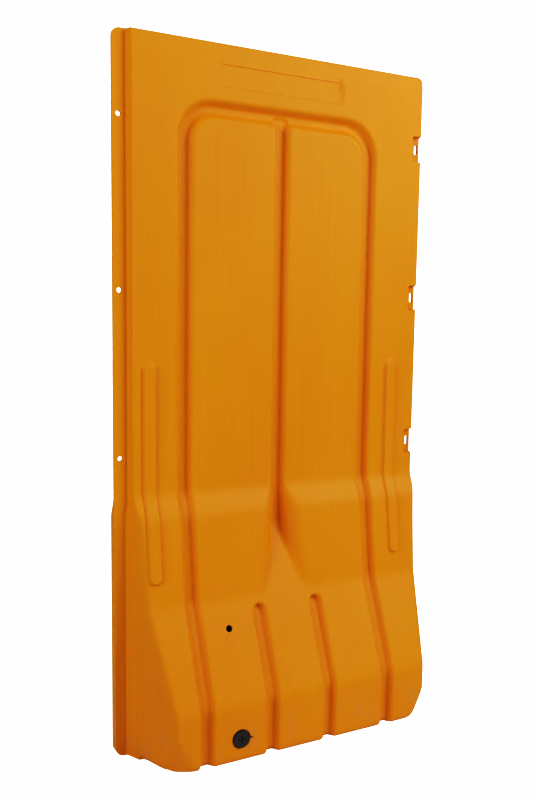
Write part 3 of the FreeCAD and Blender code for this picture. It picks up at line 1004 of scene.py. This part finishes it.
@dataclass(frozen=True)
class MouldedOrange:
    """Pigmented polyethylene: warm orange, satin, with upright flow lines and dusty lower parts."""

    colour: tuple[float, float, float, float] = (0.815, 0.308, 0.003, 1.0)
    deep: tuple[float, float, float, float] = (0.785, 0.278, 0.003, 1.0)
    rubbed: tuple[float, float, float, float] = (0.86, 0.42, 0.06, 1.0)
    dust: tuple[float, float, float, float] = (0.52, 0.33, 0.16, 1.0)
    roughness: float = 0.46
    specular: float = 0.14
    streaks: tuple[float, float, float] = (150.0, 150.0, 1.6)
    clouds: tuple[float, float, float] = (3.0, 3.0, 1.6)
    patches: tuple[float, float, float] = (22.0, 22.0, 14.0)
    lines: tuple[float, float, float] = (260.0, 260.0, 3.0)
    streak_share: float = 0.4
    wear_share: float = 0.5
    dust_share: float = 0.45
    splash_height: float = 0.16

    def make(self, wear: bpy.types.NodeTree, grain: bpy.types.NodeTree) -> bpy.types.Material:
        """Build the material from the shared groups.

        Args:
            wear, grain: The shared groups.

        Returns:
            The material.
        """
        material = bpy.data.materials.new("moulded_orange")
        material.use_nodes = True
        nodes = Nodes(material.node_tree)
        place = nodes.add("TexCoord").outputs["Object"]
        shader = nodes.add("BsdfPrincipled", in_IOR=1.5, in_Specular_IOR_Level=self.specular)

        streaks = nodes.math("MULTIPLY", nodes.noise(place, self.streaks, 4.0, 0.55), self.streak_share)
        clouds = nodes.math("MULTIPLY", nodes.noise(place, self.clouds, 3.0), 1 - self.streak_share)
        tone = nodes.span(nodes.math("ADD", streaks, clouds), 0.38, 0.64)
        colour = nodes.mix(tone, self.deep, self.colour)

        worn = nodes.add("Group", node_tree=wear, in_Threshold=0.53, in_Breakup=60.0)
        worn_share = nodes.math("MULTIPLY", worn.outputs["Mask"], self.wear_share)
        colour = nodes.mix(worn_share, colour, self.rubbed)

        height = nodes.add("SeparateXYZ")
        nodes.link(place, height.inputs[0])
        splash = nodes.span(height.outputs["Z"], self.splash_height, 0.0)
        patches = nodes.span(nodes.noise(place, self.patches, 6.0, 0.65), 0.5, 0.75)
        dusty = nodes.math("MULTIPLY", nodes.math("MULTIPLY", splash, patches), self.dust_share)
        colour = nodes.mix(dusty, colour, self.dust)
        nodes.link(colour, shader.inputs["Base Color"])

        pebbles = nodes.add("Group", node_tree=grain, in_Scale=750.0, in_Gloss=0.10)
        gloss = nodes.math("ADD", pebbles.outputs["Gloss"],
                           nodes.math("ADD", nodes.math("MULTIPLY", dusty, 0.5), self.roughness))
        nodes.link(gloss, shader.inputs["Roughness"])
        lines = nodes.noise(place, self.lines, 3.0)
        rough = nodes.math("ADD", nodes.math("MULTIPLY", pebbles.outputs["Height"], 0.35), lines)
        bump = nodes.add("Bump", in_Strength=0.20, in_Distance=0.0008)
        nodes.link(rough, bump.inputs["Height"])
        nodes.link(bump.outputs[0], shader.inputs["Normal"])
        finish_tree(nodes, shader)
        return material


@dataclass(frozen=True)
class DarkFinish:
    """A dark, even material: black plastic, rubber or grey nylon."""

    name: str
    colour: tuple[float, float, float, float]
    pale: tuple[float, float, float, float]
    roughness: float
    grain: float

    def make(self, wear: bpy.types.NodeTree, grain: bpy.types.NodeTree) -> bpy.types.Material:
        """Build the material from the shared groups.

        Args:
            wear, grain: The shared groups.

        Returns:
            The material.
        """
        material = bpy.data.materials.new(self.name)
        material.use_nodes = True
        nodes = Nodes(material.node_tree)
        place = nodes.add("TexCoord").outputs["Object"]
        shader = nodes.add("BsdfPrincipled")
        clouds = nodes.span(nodes.noise(place, (60.0, 60.0, 60.0), 4.0, 0.6), 0.45, 0.75)
        worn = nodes.add("Group", node_tree=wear, in_Threshold=0.56, in_Breakup=300.0)
        marks = nodes.math("MAXIMUM", nodes.math("MULTIPLY", clouds, 0.3), worn.outputs["Mask"])
        nodes.link(nodes.mix(marks, self.colour, self.pale), shader.inputs["Base Color"])
        pebbles = nodes.add("Group", node_tree=grain, in_Scale=self.grain, in_Gloss=0.2)
        nodes.link(nodes.math("ADD", pebbles.outputs["Gloss"], self.roughness), shader.inputs["Roughness"])
        bump = nodes.add("Bump", in_Strength=0.35, in_Distance=0.0004)
        nodes.link(pebbles.outputs["Height"], bump.inputs["Height"])
        nodes.link(bump.outputs[0], shader.inputs["Normal"])
        finish_tree(nodes, shader)
        return material


def finish_tree(nodes: Nodes, shader: bpy.types.Node) -> None:
    """Send a shader to a material's output."""
    nodes.link(shader.outputs[0], nodes.add("OutputMaterial").inputs["Surface"])


BLACK_PLASTIC = DarkFinish("black_plastic", (0.022, 0.019, 0.018, 1), (0.075, 0.065, 0.06, 1), 0.5, 2600.0)
BLACK_RUBBER = DarkFinish("black_rubber", (0.012, 0.012, 0.012, 1), (0.04, 0.038, 0.036, 1), 0.8, 3200.0)
GREY_NYLON = DarkFinish("grey_nylon", (0.055, 0.055, 0.06, 1), (0.10, 0.10, 0.10, 1), 0.42, 2200.0)


def dress(thing: bpy.types.Object, material: bpy.types.Material) -> None:
    """Give a piece one material all over."""
    thing.data.materials.clear()
    thing.data.materials.append(material)


# --- the drain plug --------------------------------------------------------------------------------


@dataclass
class DrainPlug:
    """The screw-in drain plug: a soft-edged head with a cross recess, a spur and a threaded shank."""

    seat: Vector
    head_radius: float = 24 * MM
    head_thick: float = 8 * MM
    shank_radius: float = 16.95 * MM
    shank_long: float = 18 * MM
    pitch: float = 4 * MM
    arm_long: float = 20 * MM
    arm_wide: float = 5 * MM
    arm_deep: float = 5 * MM
    rim_inset: float = 2.2 * MM
    rim_round: float = 1.5 * MM
    dish_deep: float = 0.5 * MM
    thread_tall: float = 1.4 * MM
    thread_end: float = 2.6 * MM
    thread_turns: int = 3
    spur_place: tuple[float, float, float] = (28.7 * MM, 0.0, 6.4 * MM)
    spur_size: tuple[float, float, float] = (14 * MM, 3 * MM, 2 * MM)

    def build(self) -> bpy.types.Object:
        """Model the plug lying on its back, then stand it in the drain."""
        head = self.head()
        shank = self.shank()
        spur = self.spur()
        join(head, shank, spur)
        head.name = head.data.name = "drain_plug_moulded"
        head.data.transform(Matrix.Translation(self.seat) @ Matrix.Rotation(math.radians(90), 4, "X"))
        smooth(head, 35)
        return head

    def head(self) -> bpy.types.Object:
        """The head, from a disc: rounded rim, shallow dish and a cross sunk into its middle."""
        clear_selection()
        bpy.ops.mesh.primitive_cylinder_add(vertices=96, radius=self.head_radius, depth=self.head_thick,
                                            location=(0, 0, self.head_thick / 2))
        head = named("plug_head")
        bpy.ops.object.transform_apply()
        with editing(head) as mesh:
            for face in mesh.faces:
                face.select = face.normal.z > 0.9
            bpy.ops.mesh.inset(thickness=self.rim_inset)
            bpy.ops.mesh.inset(thickness=0.8 * MM, depth=-self.dish_deep)
        near = 0.1 * MM
        with editing(head) as mesh:
            for edge in mesh.edges:
                ring = all(abs(math.hypot(v.co.x, v.co.y) - self.head_radius) < near for v in edge.verts)
                edge.select = ring and all(v.co.z > self.head_thick - near for v in edge.verts)
            bpy.ops.mesh.bevel(offset=self.rim_round, segments=4, affect="EDGES")
        for turn in (0, 90):
            clear_selection()
            bpy.ops.mesh.primitive_cube_add(size=1, location=(0, 0, self.head_thick),
                                            rotation=(0, 0, math.radians(turn)),
                                            scale=(self.arm_long, self.arm_wide, 2 * self.arm_deep))
            arm = bpy.context.object
            apply_modifier(arm, "BEVEL", width=0.8 * MM, segments=3)
            apply_modifier(head, "BOOLEAN", operation="DIFFERENCE", object=arm, solver="EXACT")
            bpy.data.objects.remove(arm)
        return head

    def shank(self) -> bpy.types.Object:
        """The shank with its thread, wound from one small profile."""
        clear_selection()
        core = self.shank_radius - self.thread_tall
        bpy.ops.mesh.primitive_cylinder_add(vertices=64, radius=core, depth=self.shank_long,
                                            location=(0, 0, -self.shank_long / 2))
        shank = named("plug_shank")
        bpy.ops.object.transform_apply()
        apply_modifier(shank, "BEVEL", width=1.2 * MM, segments=3, limit_method="ANGLE")
        clear_selection()
        bpy.ops.mesh.primitive_circle_add(vertices=4, radius=1.5 * MM, fill_type="NOTHING",
                                          location=(core, 0, self.thread_end - self.shank_long),
                                          rotation=(math.radians(90), 0, 0))
        thread = named("plug_thread")
        bpy.ops.object.transform_apply()
        apply_modifier(thread, "SCREW", axis="Z", screw_offset=self.pitch, iterations=self.thread_turns,
                       steps=48, render_steps=48, use_normal_calculate=True)
        with editing(thread):
            bpy.ops.mesh.select_all(action="SELECT")
            bpy.ops.mesh.fill_holes(sides=4)
            bpy.ops.mesh.normals_make_consistent(inside=False)
        join(shank, thread)
        return shank

    def spur(self) -> bpy.types.Object:
        """The small pointer that stands out from the head's rim."""
        clear_selection()
        bpy.ops.mesh.primitive_cube_add(size=1, location=self.spur_place, scale=self.spur_size)
        spur = named("plug_spur")
        bpy.ops.object.transform_apply()
        with editing(spur) as mesh:
            for vert in mesh.verts:
                if vert.co.x > self.spur_place[0]:
                    vert.co.y *= 0.75
        apply_modifier(spur, "BEVEL", width=0.6 * MM, segments=3)
        return spur


# --- floor, light and camera ---------------------------------------------------------------------------


@dataclass(frozen=True)
class Lamp:
    """A square soft lamp, aimed at a point."""

    name: str
    place: tuple[float, float, float]
    aim: tuple[float, float, float]
    size: float
    power: float

    def hang(self) -> None:
        """Add the lamp to the scene."""
        lamp = bpy.data.lights.new(self.name, "AREA")
        lamp.size = self.size
        lamp.energy = self.power
        thing = bpy.data.objects.new(self.name, lamp)
        thing.location = self.place
        thing.rotation_euler = (Vector(self.aim) - Vector(self.place)).to_track_quat("-Z", "Y").to_euler()
        bpy.context.scene.collection.objects.link(thing)


@dataclass
class Studio:
    """A plain pale floor, soft light and the camera."""

    eye: tuple[float, float, float] = (-1.284, -2.330, 1.267)
    azimuth: float = 29.104
    pitch: float = -6.911
    roll: float = 0.895
    lens: float = 40.12
    shift: tuple[float, float] = (-0.0135, 0.0268)
    surround: float = 0.08
    backdrop: float = 2.6
    floor_glow: float = 2.0
    curve_knee: float = 0.228
    lamps: tuple[Lamp, ...] = (
        Lamp("overhead", (0.3, -1.8, 4.8), (0.0, 0.0, 1.2), 3.0, 12.0),
        Lamp("right_key", (3.0, -3.4, 3.4), (0.0, 0.0, 1.5), 2.2, 150.0),
        Lamp("front_key", (1.4, -4.4, 3.8), (0.0, 0.0, 1.4), 2.4, 16.0),
        Lamp("left_fill", (-4.2, -1.6, 2.6), (0.0, 0.0, 1.3), 2.2, 96.0),
    )

    def floor(self) -> None:
        """One wide pale floor."""
        clear_selection()
        bpy.ops.mesh.primitive_plane_add(size=40)
        floor = named("floor")
        material = bpy.data.materials.new("pale_floor")
        material.use_nodes = True
        nodes = Nodes(material.node_tree)
        shader = nodes.add("BsdfPrincipled", in_Roughness=0.9, in_Base_Color=(0.86, 0.86, 0.86, 1),
                           in_Emission_Color=WHITE)
        seen = nodes.math("MULTIPLY", nodes.add("LightPath").outputs["Is Camera Ray"], self.floor_glow)
        nodes.link(seen, shader.inputs["Emission Strength"])
        finish_tree(nodes, shader)
        dress(floor, material)

    def light(self) -> None:
        """An even surround, seen as white, and broad soft lamps."""
        world = bpy.data.worlds.new("pale_surround")
        world.use_nodes = True
        nodes = Nodes(world.node_tree)
        lit = nodes.add("Background", in_Color=WHITE, in_Strength=self.surround)
        seen = nodes.add("Background", in_Color=WHITE, in_Strength=self.backdrop)
        choose = nodes.add("MixShader")
        nodes.link(nodes.add("LightPath").outputs["Is Camera Ray"], choose.inputs[0])
        nodes.link(lit.outputs[0], choose.inputs[1])
        nodes.link(seen.outputs[0], choose.inputs[2])
        nodes.link(choose.outputs[0], nodes.add("OutputWorld").inputs["Surface"])
        bpy.context.scene.world = world
        for lamp in self.lamps:
            lamp.hang()

    def tone(self) -> None:
        """A gentle S-shaped tone curve, the same for all three colours."""
        view = bpy.context.scene.view_settings
        view.view_transform = "Standard"
        view.use_curve_mapping = True
        view.curve_mapping.use_clip = False
        curve = view.curve_mapping.curves[3]
        for level in (0.1, 0.2, 0.3, 0.45, 0.6, 0.8, 1.2, 1.8, 3.0, 6.0, 12.0):
            curve.points.new(level, level ** 2 / (level ** 2 + self.curve_knee))
        curve.points[-1].location = (20.0, 1.0)
        view.curve_mapping.update()

    def camera(self) -> None:
        """The camera, from its place, direction, roll and shift."""
        lens = bpy.data.cameras.new("camera")
        lens.lens = self.lens
        lens.sensor_width = 36
        lens.shift_x, lens.shift_y = self.shift
        lens.clip_end = 200
        eye = bpy.data.objects.new("camera", lens)
        turn = (Matrix.Rotation(-math.radians(self.azimuth), 4, "Z")
                @ Matrix.Rotation(math.radians(90 + self.pitch), 4, "X")
                @ Matrix.Rotation(math.radians(self.roll), 4, "Z"))
        eye.matrix_world = Matrix.Translation(self.eye) @ turn
        bpy.context.scene.collection.objects.link(eye)
        bpy.context.scene.camera = eye


def main() -> None:
    """Build every piece, dress it and set the scene."""
    logging.basicConfig(level=logging.INFO, format="%(name)s: %(message)s")
    studio = Studio()
    studio.camera()

    half_width, foot, height = CAD_BOUNDS[1]
    wear, grain = edge_wear_group(), grain_group()
    orange = MouldedOrange().make(wear, grain)
    for side, nodes in ((Side.FRONT, ("front_shell", "front_flange", "lap_edge")),
                        (Side.REAR, ("rear_shell", "rear_flange"))):
        half = Moulding(side, half_width, height, foot).build(f"{side.name.lower()}_moulding")
        dress(half, orange)
        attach(half, "moulding")
        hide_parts(*nodes)
        LOG.info("%s: %d faces", half.name, len(half.data.polygons))

    gasket_low, gasket_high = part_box("drain_gasket")
    middle = (gasket_low[0] + gasket_high[0]) / 2, gasket_low[1], (gasket_low[2] + gasket_high[2]) / 2
    plug = DrainPlug(seat=Vector(middle)).build()
    dress(plug, BLACK_PLASTIC.make(wear, grain))
    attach(plug, "plug")
    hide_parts("drain_plug")
    LOG.info("%s: %d faces", plug.name, len(plug.data.polygons))

    dress(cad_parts["drain_gasket"], BLACK_RUBBER.make(wear, grain))
    dress(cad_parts["drain_bush"], GREY_NYLON.make(wear, grain))

    studio.floor()
    studio.light()
    studio.tone()


if __name__ == "__main__":
    main()
